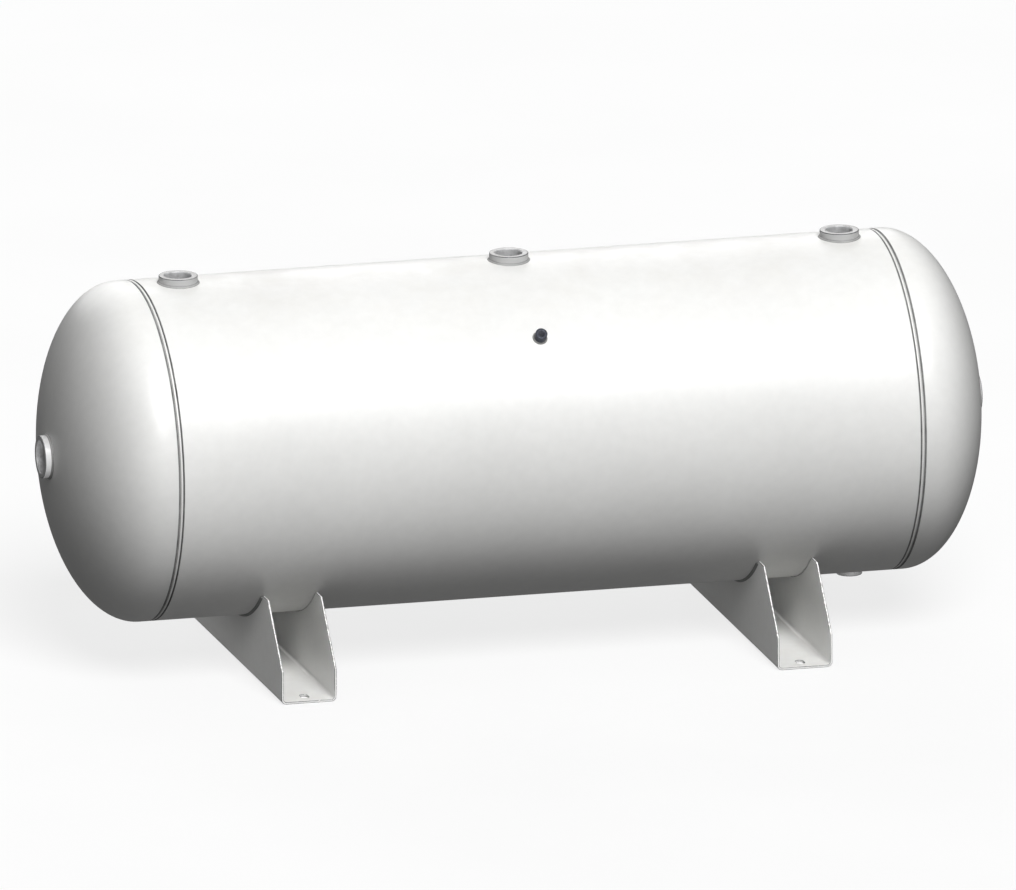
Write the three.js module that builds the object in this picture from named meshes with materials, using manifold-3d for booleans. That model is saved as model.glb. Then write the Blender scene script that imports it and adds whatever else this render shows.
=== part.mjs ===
// Horizontal air receiver tank: a rolled shell with two dished heads, seven threaded ports and
// two bent channel feet, all joined by welds. Millimetres, +Z up. The origin is on the floor,
// under the middle of the tank, and X runs along the tank.

import * as THREE from 'three';
import { mergeVertices } from 'three/addons/utils/BufferGeometryUtils.js';
import Module from 'manifold-3d';

const wasm = await Module();
wasm.setup();

// ---- driving dimensions -------------------------------------------------------------------

const gap = 0.3; // clearance between pieces that a weld or a press closes on the real tank

const shellDiameter = 609.6;
const shellLength = 1360;
const shellWall = 4.8;
const undersideHeight = 91.2; // bottom of the shell above the floor

const headWall = 4.8;
const headDepth = 147; // dished part only, outside
const headFlange = 16; // straight part outside the shell
const skirtLap = 25; // how far the joggled skirt slides into the shell
const skirtFit = 0.4; // between the skirt and the inside of the shell

const seamGroove = 8; // width of the groove between the shell's end and the head's shoulder
const seamToe = 2; // how far the bead's edges lie below the outside of the shell
const seamRoot = 1.4; // width of the bead at the bottom of the groove

const longSeamAngle = -10; // degrees above the horizontal, on the +Y side
const longSeamSlit = 3.6;
const longSeamCap = 9; // width of the bead outside the plate
const longSeamRise = 1.3;

const topPortInset = 70.4; // from the ends of the shell to the axes of the outer top ports
const topPort = { outer: 69.85, bore: 44.5, mouth: 51.7, stand: 13, length: 34 };
const endPort = { outer: 76.2, bore: 56, mouth: 60.5, stand: 13, length: 38 };
const drainPort = { outer: 46, bore: 30.3, mouth: 34.5, stand: 13, length: 30 };
const gaugePort = { outer: 21.6, bore: 11.6, mouth: 14.2, stand: 16, length: 26 };
const drainInset = 52; // from the +X end of the shell to the drain's axis
const gaugeAngle = 45; // degrees above the horizontal, on the -Y side

const portWeldLeg = 3;
const footWeldLeg = 3.5;

const footInset = 222.8; // from the ends of the shell to the middles of the feet
const footWidth = 101.6;
const footPlate = 4;
const footBend = 9.5; // outside radius of the bends
const footLength = 664.8;
const footEndHeight = 60; // upright end of each side wall
const footTipHeight = 167.5; // level top of each side wall
const footTipLength = 32; // from the shell to the start of the slope
const footSaddleFit = 0.4; // between the side walls and the shell

const slotWidth = 14.3;
const slotLength = 25;
const slotPitch = 598; // between the two slots of one foot

const roundSegments = 56;
const portSegments = 32;
const gaugeSegments = 24;

// ---- sizes that follow from them ----------------------------------------------------------

const shellRadius = shellDiameter / 2;
const shellInside = shellRadius - shellWall;
const axisHeight = undersideHeight + shellRadius;
const shellHalf = shellLength / 2;
const topPortPlace = shellHalf - topPortInset;
const drainPlace = shellHalf - drainInset;
const footPlace = shellHalf - footInset;
const skirtRadius = shellInside - skirtFit;
const shoulderX = shellHalf + seamGroove;
const shoulderFoot = shellHalf + seamRoot + 2 * gap; // where the head's shoulder leaves the skirt
const dishX = shoulderX + headFlange;
const headApexX = dishX + headDepth;
const tank = new THREE.Vector3(0, 0, axisHeight);

const paint = new THREE.MeshStandardMaterial({ color: 0xe2e3e2, roughness: 0.42, metalness: 0.05 });
const bareSteel = new THREE.MeshStandardMaterial({ color: 0x565a63, roughness: 0.38, metalness: 0.85 });

// ---- solids -------------------------------------------------------------------------------

function toSolid(geometry) {
  const plain = geometry.clone();
  plain.deleteAttribute('normal');
  plain.deleteAttribute('uv');
  const merged = mergeVertices(plain, 1e-4);
  const mesh = new wasm.Mesh({
    numProp: 3,
    vertProperties: new Float32Array(merged.attributes.position.array),
    triVerts: new Uint32Array(merged.index.array),
  });
  mesh.merge();
  return new wasm.Manifold(mesh);
}

function toGeometry(solid) {
  const { vertProperties, triVerts } = solid.getMesh();
  const geometry = new THREE.BufferGeometry();
  geometry.setAttribute('position', new THREE.BufferAttribute(new Float32Array(vertProperties), 3));
  geometry.setIndex(new THREE.BufferAttribute(new Uint32Array(triVerts), 1));
  geometry.computeVertexNormals();
  return geometry;
}

// A closed outline of [radius, height] pairs, anticlockwise, turned about Z.
function turned(outline, segments) {
  const points = [...outline, outline[0]].map(([radius, height]) => new THREE.Vector2(radius, height));
  return new THREE.LatheGeometry(points, segments).rotateX(Math.PI / 2);
}

// The same, turned about X: each pair is [radius, x].
function turnedAboutX(outline, segments) {
  return turned(outline, segments).rotateY(Math.PI / 2);
}

// A plug about Z, for cutting a round hole.
function plug(radius, low, high, segments) {
  return new THREE.CylinderGeometry(radius, radius, high - low, segments)
    .rotateX(Math.PI / 2)
    .translate(0, 0, (low + high) / 2);
}

// An outline of [y, z] pairs pushed along X from one place to another.
function pushedAlongX(shape, from, to) {
  const alongX = new THREE.Matrix4().makeBasis(
    new THREE.Vector3(0, 1, 0), new THREE.Vector3(0, 0, 1), new THREE.Vector3(1, 0, 0));
  return new THREE.ExtrudeGeometry(shape, { depth: to - from, bevelEnabled: false, curveSegments: 10 })
    .applyMatrix4(alongX)
    .translate(from, 0, 0);
}

function outlineShape(pairs) {
  return new THREE.Shape(pairs.map(([across, up]) => new THREE.Vector2(across, up)));
}

// Points on part of an ellipse, angles in degrees from the first axis.
function ellipsePoints(across, up, fromAngle, toAngle, steps) {
  return Array.from({ length: steps + 1 }, (_, step) => {
    const angle = THREE.MathUtils.degToRad(fromAngle + ((toAngle - fromAngle) * step) / steps);
    return [across * Math.cos(angle), up * Math.sin(angle)];
  });
}

const object = new THREE.Group();
object.name = 'air_receiver_tank';

// Pieces on the tank's axis, and pieces on the floor, each have a group of their own.
const onAxis = new THREE.Group();
onAxis.position.copy(tank);
const onFloor = new THREE.Group();
object.add(onAxis, onFloor);

function addPiece(group, name, geometry, material) {
  const mesh = new THREE.Mesh(geometry, material);
  mesh.name = name;
  group.add(mesh);
  return mesh;
}

// ---- ports: where they stand on the tank ----------------------------------------------------

// turn is the port's lean from straight up about the tank's axis, in degrees, towards -Y.
const shellPorts = [
  { name: 'top_port_left', size: topPort, x: -topPortPlace, turn: 0, material: paint },
  { name: 'top_port_center', size: topPort, x: 0, turn: 0, material: paint },
  { name: 'top_port_right', size: topPort, x: topPortPlace, turn: 0, material: paint },
  { name: 'drain_port', size: drainPort, x: drainPlace, turn: 180, material: paint },
  { name: 'gauge_port', size: gaugePort, x: 0, turn: 90 - gaugeAngle, material: bareSteel },
];

function segmentsOf(port) {
  return port.size === gaugePort ? gaugeSegments : portSegments;
}

// ---- shell and long seam --------------------------------------------------------------------

function shell() {
  const ring = [
    [shellInside, -shellHalf], [shellRadius, -shellHalf],
    [shellRadius, shellHalf], [shellInside, shellHalf],
  ];
  let plate = toSolid(turnedAboutX(ring, roundSegments));
  const reach = shellRadius + topPort.stand;
  for (const port of shellPorts) {
    const hole = plug(port.size.outer / 2 + gap, shellRadius / 2, reach, segmentsOf(port))
      .translate(port.x, 0, 0)
      .rotateX(THREE.MathUtils.degToRad(port.turn));
    plate = plate.subtract(toSolid(hole));
  }
  const slit = new THREE.BoxGeometry(shellLength + 2 * seamGroove, longSeamSlit, shellRadius)
    .translate(0, 0, shellRadius)
    .rotateX(THREE.MathUtils.degToRad(longSeamAngle - 90));
  return toGeometry(plate.subtract(toSolid(slit)));
}

// The bead's section stands upright at the top of the tank and is then turned to its place. It is
// flush inside, where the skirts of the heads lie against it.
function longSeamWeld() {
  const neck = longSeamSlit / 2 - gap;
  const under = shellRadius + gap;
  const cap = ellipsePoints(longSeamCap / 2, longSeamRise, 0, 180, 8)
    .map(([across, up]) => [across, under + up]);
  const section = outlineShape([
    [-neck, shellInside], [neck, shellInside], [neck, under], ...cap, [-neck, under],
  ]);
  const half = shellHalf - gap;
  return pushedAlongX(section, -half, half).rotateX(THREE.MathUtils.degToRad(longSeamAngle - 90));
}

addPiece(onAxis, 'shell', shell(), paint);
addPiece(onAxis, 'long_seam_weld', longSeamWeld(), paint);

// ---- heads and their seams ------------------------------------------------------------------

// A dished head with a straight flange and a joggled skirt that slides into the shell.
function head() {
  const portHole = endPort.outer / 2 + gap;
  const inner = shellRadius - headWall;
  const innerDepth = headDepth - headWall;
  const edgeOf = (across) => THREE.MathUtils.radToDeg(Math.acos(portHole / across));
  const dish = ellipsePoints(shellRadius, headDepth, 0, edgeOf(shellRadius), 8)
    .map(([radius, depth]) => [radius, dishX + depth]);
  const hollow = ellipsePoints(inner, innerDepth, edgeOf(inner), 0, 6)
    .map(([radius, depth]) => [radius, dishX + depth]);
  const skirtEnd = shellHalf - skirtLap;
  const outline = [
    [skirtRadius - headWall, skirtEnd], [skirtRadius, skirtEnd], [skirtRadius, shoulderFoot],
    [shellRadius, shoulderX], ...dish, ...hollow,
    [inner, shoulderX + headWall], [skirtRadius - headWall, shoulderFoot + headWall],
  ];
  return turnedAboutX(outline, roundSegments);
}

// The bead lies on the skirt, between the end of the shell and the sloping shoulder of the head.
function seamWeld() {
  const rise = shellRadius - skirtRadius;
  const run = shoulderX - shoulderFoot;
  const floor = skirtRadius + gap;
  const toe = shellRadius - seamToe;
  const start = shellHalf + gap;
  const end = shoulderFoot + ((toe - skirtRadius) * run - gap * Math.hypot(rise, run)) / rise;
  const crown = ellipsePoints((end - start) / 2, seamToe, 180, 0, 6)
    .map(([along, up]) => [toe + up, (start + end) / 2 + along]);
  const rootEnd = end - ((toe - floor) * run) / rise;
  return turnedAboutX([[floor, start], ...crown, [floor, rootEnd]], roundSegments);
}

for (const side of [{ name: 'left', turn: Math.PI }, { name: 'right', turn: 0 }]) {
  addPiece(onAxis, `${side.name}_head`, head(), paint).rotation.z = side.turn;
  addPiece(onAxis, `${side.name}_seam_weld`, seamWeld(), paint).rotation.z = side.turn;
}

// ---- ports and their fillet welds -----------------------------------------------------------

// A threaded ring whose face is at a given height on its own Z axis.
function portRing(size, face, segments) {
  const outer = size.outer / 2;
  const bore = size.bore / 2;
  const mouth = size.mouth / 2;
  const bevel = mouth - bore;
  const foot = face - size.length;
  const outline = [
    [bore, foot], [outer, foot], [outer, face], [mouth, face], [bore, face - bevel],
  ];
  return turned(outline, segments);
}

// A fillet around a port, laid on a surface given as its height at each distance from the axis.
function portWeld(size, heightAt, segments) {
  const inside = size.outer / 2 + gap;
  const bulge = portWeldLeg * 0.56; // a little more than half, so that the face is slightly round
  const outline = [
    [inside, 0], [inside + portWeldLeg, 0], [inside + bulge, bulge], [inside, portWeldLeg],
  ];
  const fillet = turned(outline, segments);
  const place = fillet.attributes.position;
  for (let point = 0; point < place.count; point += 1) {
    const surface = heightAt(place.getX(point), place.getY(point));
    place.setZ(point, place.getZ(point) + surface + gap);
  }
  return fillet;
}

const heightOnShell = (x, y) => Math.sqrt(shellRadius ** 2 - y ** 2);

for (const port of shellPorts) {
  const turn = THREE.MathUtils.degToRad(port.turn);
  const segments = segmentsOf(port);
  const ring = portRing(port.size, shellRadius + port.size.stand, segments);
  const weld = portWeld(port.size, heightOnShell, segments);
  for (const piece of [
    addPiece(onAxis, port.name, ring, port.material),
    addPiece(onAxis, `${port.name}_weld`, weld, paint),
  ]) {
    piece.position.x = port.x;
    piece.rotation.x = turn;
  }
}

const heightOnHead = (x, y) => dishX + headDepth * Math.sqrt(1 - (x ** 2 + y ** 2) / shellRadius ** 2);

for (const side of [{ name: 'left', turn: -Math.PI / 2 }, { name: 'right', turn: Math.PI / 2 }]) {
  const ring = portRing(endPort, headApexX + endPort.stand, portSegments);
  const weld = portWeld(endPort, heightOnHead, portSegments);
  addPiece(onAxis, `end_port_${side.name}`, ring, paint).rotation.y = side.turn;
  addPiece(onAxis, `end_port_${side.name}_weld`, weld, paint).rotation.y = side.turn;
}

// ---- feet and their welds -------------------------------------------------------------------

const saddleRadius = shellRadius + footSaddleFit;
const saddleDrop = axisHeight - footTipHeight;
const saddleReach = Math.sqrt(saddleRadius ** 2 - saddleDrop ** 2);
const saddleAngle = THREE.MathUtils.radToDeg(Math.acos(saddleDrop / saddleRadius));

// A strip of plate bent up along both edges.
function channelSection() {
  const half = footWidth / 2;
  const inner = footBend - footPlate;
  const section = new THREE.Shape();
  section.moveTo(-half, footTipHeight);
  section.lineTo(-half, footBend);
  section.absarc(-half + footBend, footBend, footBend, Math.PI, 1.5 * Math.PI);
  section.lineTo(half - footBend, 0);
  section.absarc(half - footBend, footBend, footBend, 1.5 * Math.PI, 2 * Math.PI);
  section.lineTo(half, footTipHeight);
  section.lineTo(half - footPlate, footTipHeight);
  section.lineTo(half - footPlate, footBend);
  section.absarc(half - footBend, footBend, inner, 0, -0.5 * Math.PI, true);
  section.lineTo(-half + footBend, footPlate);
  section.absarc(-half + footBend, footBend, inner, 1.5 * Math.PI, Math.PI, true);
  section.lineTo(-half + footPlate, footTipHeight);
  return section;
}

// The side wall's outline, with the saddle that holds the shell.
function sideOutline() {
  const half = footLength / 2;
  const tip = saddleReach + footTipLength;
  const saddle = ellipsePoints(saddleRadius, saddleRadius, 270 + saddleAngle, 270 - saddleAngle, 28)
    .map(([across, up]) => [across, axisHeight + up]);
  return outlineShape([
    [-half, 0], [half, 0], [half, footEndHeight], [tip, footTipHeight],
    ...saddle, [-tip, footTipHeight], [-half, footEndHeight],
  ]);
}

function slotPrism(y) {
  const radius = slotWidth / 2;
  const straight = (slotLength - slotWidth) / 2;
  const slot = new THREE.Shape();
  slot.absarc(0, y + straight, radius, 0, Math.PI);
  slot.absarc(0, y - straight, radius, Math.PI, 2 * Math.PI);
  return new THREE.ExtrudeGeometry(slot, { depth: 3 * footPlate, bevelEnabled: false, curveSegments: 8 })
    .translate(0, 0, -footPlate);
}

function foot() {
  const strip = new THREE.ExtrudeGeometry(
    channelSection(), { depth: footLength, bevelEnabled: false, curveSegments: 5 })
    .rotateX(Math.PI / 2)
    .translate(0, footLength / 2, 0);
  let channel = toSolid(strip).intersect(toSolid(pushedAlongX(sideOutline(), -footWidth, footWidth)));
  for (const y of [-slotPitch / 2, slotPitch / 2]) {
    channel = channel.subtract(toSolid(slotPrism(y)));
  }
  return toGeometry(channel);
}

// A fillet on the outer face of a side wall, along the saddle. It stops short of the tips.
function footWeld() {
  const floor = shellRadius + gap;
  const bulge = footWeldLeg * 0.56;
  const outline = [
    [floor, gap], [floor + footWeldLeg, gap], [floor + bulge, gap + bulge], [floor, gap + footWeldLeg],
  ];
  const ring = toSolid(turnedAboutX(outline, roundSegments));
  const reach = saddleAngle - THREE.MathUtils.radToDeg(footWeldLeg / shellRadius);
  const far = 2 * shellRadius;
  const corners = [-reach, -reach / 2, 0, reach / 2, reach].map((angle) => {
    const turn = THREE.MathUtils.degToRad(angle);
    return [far * Math.sin(turn), -far * Math.cos(turn)];
  });
  const sector = pushedAlongX(outlineShape([[0, 0], ...corners]), 0, 4 * footWeldLeg);
  return toGeometry(ring.intersect(toSolid(sector)));
}

for (const side of [{ name: 'left', x: -footPlace }, { name: 'right', x: footPlace }]) {
  addPiece(onFloor, `${side.name}_foot`, foot(), paint).position.x = side.x;
  const away = Math.sign(side.x);
  for (const wall of [{ name: 'outer', face: away }, { name: 'inner', face: -away }]) {
    const weld = addPiece(onAxis, `${side.name}_foot_${wall.name}_weld`, footWeld(), paint);
    weld.position.x = side.x + (wall.face * footWidth) / 2;
    weld.rotation.z = wall.face > 0 ? 0 : Math.PI;
  }
}

export default object;
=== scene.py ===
# Looks of a horizontal air receiver tank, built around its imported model. Laid out as an add-on:
# settings, one operator for each group of pieces, a sidebar panel, and a main function.

import math

import bmesh
import bpy
from bpy.props import FloatProperty, FloatVectorProperty, IntProperty, PointerProperty
from mathutils import Matrix, Vector


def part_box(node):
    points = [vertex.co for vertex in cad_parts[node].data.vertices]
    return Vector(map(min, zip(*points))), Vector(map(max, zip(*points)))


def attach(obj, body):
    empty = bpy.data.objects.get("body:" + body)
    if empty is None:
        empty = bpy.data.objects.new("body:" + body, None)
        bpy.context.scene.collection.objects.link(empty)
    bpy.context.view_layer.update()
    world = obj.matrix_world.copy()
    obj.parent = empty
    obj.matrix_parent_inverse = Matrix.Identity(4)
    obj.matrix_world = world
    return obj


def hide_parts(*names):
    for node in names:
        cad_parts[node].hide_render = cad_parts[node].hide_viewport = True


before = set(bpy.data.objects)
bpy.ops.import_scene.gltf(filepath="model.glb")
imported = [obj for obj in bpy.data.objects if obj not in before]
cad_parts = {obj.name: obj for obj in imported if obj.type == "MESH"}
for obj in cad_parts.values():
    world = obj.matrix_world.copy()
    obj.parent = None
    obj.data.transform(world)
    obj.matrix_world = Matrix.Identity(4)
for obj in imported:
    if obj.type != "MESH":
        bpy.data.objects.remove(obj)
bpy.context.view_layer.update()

bl_info = {
    "name": "Air receiver tank",
    "version": (1, 0, 0),
    "blender": (4, 5, 0),
    "location": "3D View > Sidebar > Tank",
    "description": "Builds the plates, welds, threaded ports and feet of a horizontal air receiver",
    "category": "Object",
}

MM = 0.001
shell_low, shell_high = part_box("shell")
foot_low, foot_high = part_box("right_foot")

# ---- settings ----


def metres(label, description, default):
    return FloatProperty(name=label, description=description, default=default, unit="LENGTH",
                         precision=5)


def length(label, description, millimetres):
    return metres(label, description, millimetres * MM)


def angle(label, description, degrees):
    return FloatProperty(name=label, description=description, default=math.radians(degrees),
                         subtype="ANGLE")


def level(label, description, default):
    return FloatProperty(name=label, description=description, default=default)


def number(label, description, default, least=1):
    return IntProperty(name=label, description=description, default=default, min=least)


def colour(label, description, *rgb):
    return FloatVectorProperty(name=label, description=description, default=rgb, size=3,
                               subtype="COLOR", min=0, max=1)


def port_sizes(label, outer, bore, mouth, stand, depth, threads):
    """A group of settings for one kind of threaded port."""
    fields = {
        "outer": length("Outside", "Outside diameter of the ring", outer),
        "bore": length("Bore", "Diameter over the crests of the thread", bore),
        "mouth": length("Mouth", "Diameter of the countersink at the face", mouth),
        "stand": length("Stand", "Height of the face above the plate", stand),
        "depth": length("Length", "Length of the ring", depth),
        "threads": level("Threads per inch", "Turns of the thread in one inch", threads),
    }
    return type("TankPort" + label, (bpy.types.PropertyGroup,), {"__annotations__": fields})


TankPortTop = port_sizes("Top", 69.85, 44.5, 51.7, 13, 34, 11.5)
TankPortEnd = port_sizes("End", 76.2, 56, 60.5, 13, 38, 11.5)
TankPortDrain = port_sizes("Drain", 46, 30.3, 34.5, 13, 30, 11.5)
TankPortGauge = port_sizes("Gauge", 21.6, 11.6, 14.2, 16, 26, 18)


class TankShell(bpy.types.PropertyGroup):
    radius: metres("Radius", "Outside radius of the shell", (shell_high.z - shell_low.z) / 2)
    half: metres("Half length", "From the middle to the shell's end",
                 (shell_high.x - shell_low.x) / 2)
    height: metres("Axis height", "Height of the axis above the floor",
                   (shell_high.z + shell_low.z) / 2)
    wall: length("Wall", "Thickness of the rolled plate", 4.8)
    clearance: length("Clearance", "Between a ring and the hole that it stands in", 0.3)
    end_bevel: length("End bevel", "Dressed edge at the ends of the plate", 0.5)
    seam_angle: angle("Long seam angle", "Above the horizontal, away from the gauge", -10)
    seam_slit: length("Long seam slit", "Gap that the long weld fills", 3.6)
    seam_cap: length("Long seam width", "Width of the long weld outside the plate", 9)
    seam_rise: length("Long seam height", "Height of the long weld above the plate", 1.3)
    segments: number("Segments", "Faces round the tank", 256, 32)


class TankHead(bpy.types.PropertyGroup):
    wall: length("Wall", "Thickness of the head", 4.8)
    depth: length("Depth", "Outside depth of the dished part", 147)
    flange: length("Flange", "Straight part between the shoulder and the dish", 16)
    lap: length("Skirt lap", "How far the skirt slides into the shell", 25)
    fit: length("Skirt fit", "Between the skirt and the inside of the shell", 0.4)
    groove: length("Groove", "Width of the groove that the weld fills", 8)
    root: length("Groove root", "Width of the groove at its bottom", 2)
    toe: length("Weld toe", "How far the weld's edges lie below the plate", 2)
    steps: number("Dish steps", "Faces from the flange to the port", 40, 8)


class TankBead(bpy.types.PropertyGroup):
    pitch: length("Ripple pitch", "Distance from one weld ripple to the next", 3.4)
    height: length("Ripple height", "Depth of the notch between ripples", 0.32)
    port_leg: length("Port fillet", "Leg of the fillet around a port", 3.2)
    gauge_leg: length("Gauge fillet", "Leg of the fillet around the gauge port", 2.72)
    foot_leg: length("Foot fillet", "Leg of the fillet along a foot", 3.8)
    steps: number("Ripple steps", "Points along one ripple", 5, 3)
    seed: number("Seed", "Start of the random numbers", 7)


class TankFoot(bpy.types.PropertyGroup):
    width: metres("Width", "Over the two side walls", foot_high.x - foot_low.x)
    length: metres("Length", "Across the tank", foot_high.y - foot_low.y)
    tip_height: metres("Tip height", "Level top of the side walls", foot_high.z)
    plate: length("Plate", "Thickness of the bent plate", 4)
    bend: length("Bend radius", "Outside radius of the bends", 9.5)
    end_height: length("End height", "Upright end of the side walls", 60)
    tip: length("Tip length", "From the shell to the start of the slope", 32)
    fit: length("Saddle fit", "Between the side walls and the shell", 0.4)
    slot_width: length("Slot width", "Width of the anchor slots", 14.3)
    slot_length: length("Slot length", "Length of the anchor slots", 25)
    slot_pitch: length("Slot pitch", "Between the two slots of one foot", 598)
    bevel: length("Edge bevel", "Dressed edges of the cut plate", 0.8)


class TankFinish(bpy.types.PropertyGroup):
    paint: colour("Paint", "Satin enamel of the tank", 0.80, 0.80, 0.79)
    dust: colour("Dust", "Shop dust that settles on the enamel", 0.66, 0.64, 0.60)
    # Near-black colour of the weld crevices and girth seam toes: partly soiling, partly painted
    # shade.
    grime_and_shade: colour("Grime", "Dark dirt along the edges of the welds", 0.055, 0.055, 0.058)
    primer: colour("Primer", "Dark primer where an edge has chipped", 0.15, 0.155, 0.16)
    ring: colour("Ring paint", "Thinner coat of enamel on the threaded rings", 0.54, 0.54, 0.54)
    steel: colour("Turned steel", "Bare steel of the gauge port", 0.085, 0.092, 0.112)
    # Lighter than the gauge port's outside steel: painted light on the bore, which lies in shade.
    bore: colour("Gauge thread", "Fresh steel inside the gauge port", 0.36, 0.37, 0.42)
    thread: colour("Thread steel", "Bright steel inside the painted ports", 0.66, 0.66, 0.665)
    floor: colour("Floor", "Plain pale floor", 0.97, 0.97, 0.97)


class TankStudio(bpy.types.PropertyGroup):
    key: level("Key light", "Strength of the light from the front", 3.4)
    back: level("Back light", "Strength of the light from behind", 1.0)
    foot_fill: level("Foot fill", "Soft light on the feet from the left", 0.95)
    port_fill: level("Port fill", "Soft light from the front on three of the ports", 1.6)
    top: level("Sky above", "Brightness of the room from above", 0.30)
    side: level("Sky around", "Brightness of the room from the sides", 0.10)
    ground: level("Glow from below", "Light that the floor throws back", 0.27)
    backdrop: level("Backdrop", "Brightness of the room as the camera sees it", 0.93)
    contrast: level("Contrast", "Below 1 deepens the middle greys", 0.78)
    azimuth: angle("View azimuth", "Turn of the view about the tank", -15)
    elevation: angle("View elevation", "Height of the view", 15)
    width: metres("View width", "Width that the view takes in", 1.810)
    aim_left: length("Aim left", "From the middle of the tank to the middle of the view", 1.25)
    aim_below: length("Aim below", "From the tank's axis down to the middle of the view", 36.5)


class TankSettings(bpy.types.PropertyGroup):
    shell: PointerProperty(type=TankShell, name="Shell")
    head: PointerProperty(type=TankHead, name="Heads")
    bead: PointerProperty(type=TankBead, name="Welds")
    foot: PointerProperty(type=TankFoot, name="Feet")
    finish: PointerProperty(type=TankFinish, name="Finishes")
    studio: PointerProperty(type=TankStudio, name="Studio")
    top: PointerProperty(type=TankPortTop, name="Top ports")
    end: PointerProperty(type=TankPortEnd, name="End ports")
    drain: PointerProperty(type=TankPortDrain, name="Drain port")
    gauge: PointerProperty(type=TankPortGauge, name="Gauge port")


def settings():
    return bpy.context.scene.tank


# ---- where things stand ----

SIDES = {"left": -1, "right": 1}

# Each port of the shell: node, kind, and its lean from straight up towards the gauge side.
SHELL_PORTS = {
    "top_port_left": ("top", 0),
    "top_port_center": ("top", 0),
    "top_port_right": ("top", 0),
    "drain_port": ("drain", 180),
    "gauge_port": ("gauge", 45),
}


def on_axis():
    return Matrix.Translation((0, 0, settings().shell.height))


def toward_end(side):
    """Turns a piece made about Z so that its Z points along the tank, out through one end."""
    return on_axis() @ Matrix.Rotation(side * math.pi / 2, 4, "Y")


def port_places():
    """Node, sizes, and the frame on the tank's axis whose Z runs out through the port."""
    tank = settings()
    places = []
    for node, (kind, lean) in SHELL_PORTS.items():
        low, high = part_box(node)
        along = Matrix.Translation(((low.x + high.x) / 2, 0, 0))
        stand = on_axis() @ along @ Matrix.Rotation(math.radians(lean), 4, "X")
        places.append((node, getattr(tank, kind), stand))
    return places


def end_port_places():
    return [("end_port_" + name, settings().end, toward_end(side)) for name, side in SIDES.items()]


def head_apex():
    tank = settings()
    return tank.shell.half + tank.head.groove + tank.head.flange + tank.head.depth


# ---- outlines ----


def arc(centre, across, up, start, stop, steps):
    """Points on part of an ellipse, angles in degrees."""
    angles = (math.radians(start + (stop - start) * step / steps) for step in range(steps + 1))
    return [(centre[0] + across * math.cos(a), centre[1] + up * math.sin(a)) for a in angles]


def eased(outline, radii, steps=4):
    """Rounds the numbered corners of a closed outline."""
    points = []
    for index, here in enumerate(outline):
        radius = radii.get(index, 0)
        if not radius:
            points.append(here)
            continue
        corner = Vector(here)
        before = Vector(outline[index - 1]) - corner
        after = Vector(outline[(index + 1) % len(outline)]) - corner
        half = before.angle(after) / 2
        reach = min(radius / math.tan(half), before.length * 0.49, after.length * 0.49)
        first, last = corner + before.normalized() * reach, corner + after.normalized() * reach
        for step in range(steps + 1):
            t = step / steps
            point = first * (1 - t) ** 2 + corner * 2 * t * (1 - t) + last * t ** 2
            points.append((point.x, point.y))
    return points


# ---- meshes ----


def placed(mesh, matrix):
    mesh.transform(matrix)
    return mesh


def mesh_of(name, points, faces=(), edges=()):
    mesh = bpy.data.meshes.new(name)
    mesh.from_pydata([tuple(p) for p in points], list(edges), list(faces))
    mesh.update()
    return mesh


def prism(name, outline, low, high, stand=Matrix()):
    """A closed outline pushed along Z and then stood up, with its faces outward."""
    count = len(outline)
    points = [(x, y, z) for z in (low, high) for x, y in outline]
    faces = [tuple(reversed(range(count))), tuple(range(count, 2 * count))]
    faces += [(i, (i + 1) % count, count + (i + 1) % count, count + i) for i in range(count)]
    return outward(placed(mesh_of(name, points, faces), stand))


def turned(name, outline, segments):
    """A closed outline of (radius, height) pairs turned about Z."""
    count = len(outline)
    points = []
    for turn in range(segments):
        a = 2 * math.pi * turn / segments
        points += [(r * math.cos(a), r * math.sin(a), z) for r, z in outline]
    faces = []
    for turn in range(segments):
        here, there = turn * count, (turn + 1) % segments * count
        faces += [(here + i, there + i, there + (i + 1) % count, here + (i + 1) % count)
                  for i in range(count)]
    return outward(mesh_of(name, points, faces))


def reworked(mesh, *others, change=None):
    """Joins the other meshes to the first, if there are any, and then makes the change."""
    work = bmesh.new()
    for part in (mesh, *others):
        work.from_mesh(part)
    if change:
        change(work)
    work.to_mesh(mesh)
    work.free()
    return mesh


def outward(mesh):
    """Turns every face of a closed mesh to look outward."""
    return reworked(mesh, change=lambda work: bmesh.ops.recalc_face_normals(
        work, faces=work.faces))


def evaluated_copy(holder, name):
    """The finished mesh of an object with modifiers. The object itself is removed."""
    holder.data.name = name + "_draft"
    graph = bpy.context.evaluated_depsgraph_get()
    mesh = bpy.data.meshes.new_from_object(holder.evaluated_get(graph), depsgraph=graph)
    mesh.name = name
    draft = holder.data
    holder.modifiers.clear()
    bpy.data.objects.remove(holder)
    bpy.data.meshes.remove(draft)
    return mesh


def held(mesh):
    """An object for a mesh, so that modifiers can work on it."""
    holder = bpy.data.objects.new(mesh.name, mesh)
    bpy.context.scene.collection.objects.link(holder)
    return holder


def carved(mesh, steps):
    """Boolean cuts, in order. Each step is an operation and the mesh of its tool."""
    holder = held(mesh)
    for operation, tool in steps:
        cut = holder.modifiers.new(operation, "BOOLEAN")
        cut.operation, cut.solver, cut.object = operation, "EXACT", held(tool)
    result = tidied(evaluated_copy(holder, mesh.name))
    for operation, tool in steps:
        bpy.data.meshes.remove(tool)
    return result


def tidied(mesh, closest=0.01 * MM):
    """Joins the points that lie on top of each other, and drops the slivers between them."""
    def change(work):
        bmesh.ops.remove_doubles(work, verts=work.verts, dist=closest)
        bmesh.ops.dissolve_degenerate(work, edges=work.edges, dist=closest)

    return reworked(mesh, change=change)


def smooth_by_angle(mesh, degrees):
    mesh.shade_smooth()
    mesh.set_sharp_from_angle(angle=math.radians(degrees))


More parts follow.
